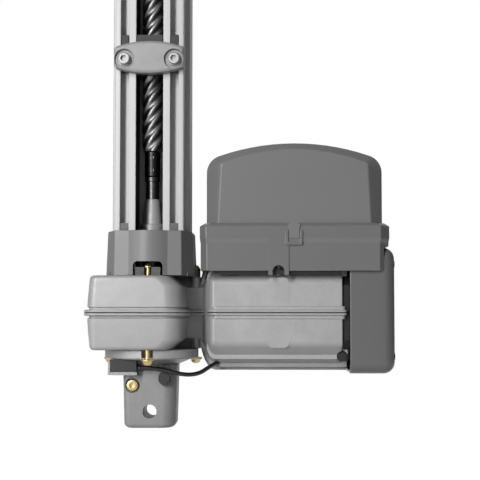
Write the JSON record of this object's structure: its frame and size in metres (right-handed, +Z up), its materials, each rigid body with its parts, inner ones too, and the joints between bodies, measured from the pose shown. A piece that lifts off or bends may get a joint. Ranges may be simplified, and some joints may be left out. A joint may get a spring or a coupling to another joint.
{
  "type": "lead-screw door opener",
  "caption": "Upright slotted rail with a lead screw and carriage plate, driven through a worm gear by a finned motor with an end cap and a dome-covered control tray.",
  "frame": {"origin": "centre of the pivot bore in the knuckle under the gear case", "axes": "+Z up along the lead screw and rail, +X from the lead screw towards the motor's end cap, -Y towards the side where the rail's slot opens"},
  "size_m": [0.2675, 0.1615, 1.137],
  "materials": {
    "rail_aluminium": "extruded, bright satin",
    "clamp_steel": "dark phosphated",
    "end_plate": "satin",
    "bush_bronze": "turned",
    "zinc_screws": "zinc plated",
    "foot_steel": "pressed",
    "socket_plastic": "moulded, fine grain",
    "yellow_zinc": "yellow passivated",
    "cast_aluminium": "die cast, satin",
    "cast_knuckle": "cast, satin",
    "gasket_fibre": "matte",
    "steel_inner": "ground",
    "lamination_steel": "laminated",
    "copper_winding": "enamelled wire",
    "seal_black": "matte",
    "cap_plastic": "moulded, satin",
    "tray_plastic": "moulded, satin",
    "dome_plastic": "moulded, satin",
    "board_green": "lacquered board",
    "black_plastic": "moulded",
    "transformer_wrap": "taped",
    "capacitor_white": "smooth",
    "terminal_grey": "moulded",
    "bracket_zinc": "zinc plated",
    "cable_jacket": "smooth jacket",
    "thread_steel": "rolled thread, oiled",
    "coupling_black": "blackened",
    "spindle_steel": "turned, dark",
    "wheel_bronze": "hobbed",
    "magnet_ferrite": "sintered",
    "nut_plastic": "machined",
    "plate_zinc": "die cast, satin",
    "shoe_plastic": "moulded"
  },
  "bodies": {
    "frame": {"rail": "rail_aluminium", "rail_clamp_blocks": "clamp_steel", "rail_end_block": "end_plate", "rail_end_bush": "bush_bronze", "rail_end_screws": "zinc_screws", "rail_foot": "foot_steel", "rail_socket": "socket_plastic", "socket_screws": "yellow_zinc", "upper_housing": "cast_aluminium", "lower_housing": "cast_aluminium", "housing_gasket": "gasket_fibre", "housing_bolts": "zinc_screws", "motor_end_shield": "steel_inner", "stator_core": "lamination_steel", "stator_windings": "copper_winding", "motor_bearings": "steel_inner", "output_bearings": "steel_inner", "oil_seal": "gasket_fibre", "end_seal": "seal_black", "end_cap": "cap_plastic", "end_cap_screws": "zinc_screws", "cover_tray": "tray_plastic", "tray_studs": "zinc_screws", "control_board": "board_green", "board_standoffs": "black_plastic", "transformer": "transformer_wrap", "run_capacitor": "capacitor_white", "terminal_block": "terminal_grey", "relay_pair": "black_plastic", "cable_gland": "black_plastic", "lower_bearing_cover": "cast_aluminium", "lower_cover_screws": "yellow_zinc", "pivot_knuckle": "cast_knuckle", "knuckle_screw": "yellow_zinc", "pulse_sensor": "black_plastic", "sensor_bracket": "bracket_zinc", "sensor_cable": "cable_jacket", "cable_clip": "black_plastic", "clip_screw": "zinc_screws"},
    "lead_screw": {"lead_screw": "thread_steel", "coupling_sleeve": "coupling_black", "sleeve_pins": "zinc_screws", "output_shaft": "spindle_steel", "shaft_hub": "cast_aluminium", "worm_wheel": "wheel_bronze", "wheel_key": "steel_inner", "magnet_disc": "magnet_ferrite"},
    "rotor": {"worm_shaft": "steel_inner", "rotor_core": "lamination_steel", "cooling_fan": "black_plastic"},
    "carriage": {"drive_nut": "nut_plastic", "carriage_plate": "plate_zinc", "guide_shoes": "shoe_plastic", "plate_washers": "zinc_screws", "plate_screws": "zinc_screws"},
    "cover": {"dome_cover": "dome_plastic"}
  },
  "joints": [
    {"name": "rotor_spin", "type": "hinge", "parent": "frame", "child": "rotor", "pos_m": [0, 0.038, 0.0845], "axis": [1, 0, 0], "range_deg": [-66600, 4500]},
    {"name": "screw_spin", "type": "hinge", "parent": "frame", "child": "lead_screw", "pos_m": [0, 0, 0], "axis": [0, 0, 1], "range_deg": [-4440, 300]},
    {"name": "carriage_slide", "type": "slide", "parent": "frame", "child": "carriage", "axis": [0, 0, 1], "range_m": [-0.05, 0.74]},
    {"name": "cover_lift", "type": "slide", "parent": "frame", "child": "cover", "axis": [0, 0, 1], "range_m": [0, 0.12]}
  ],
  "couplings": [
    {"joint": "screw_spin", "follows": "rotor_spin", "ratio": 0.066667},
    {"joint": "carriage_slide", "follows": "rotor_spin", "m_per_rad": -0.00063662}
  ]
}
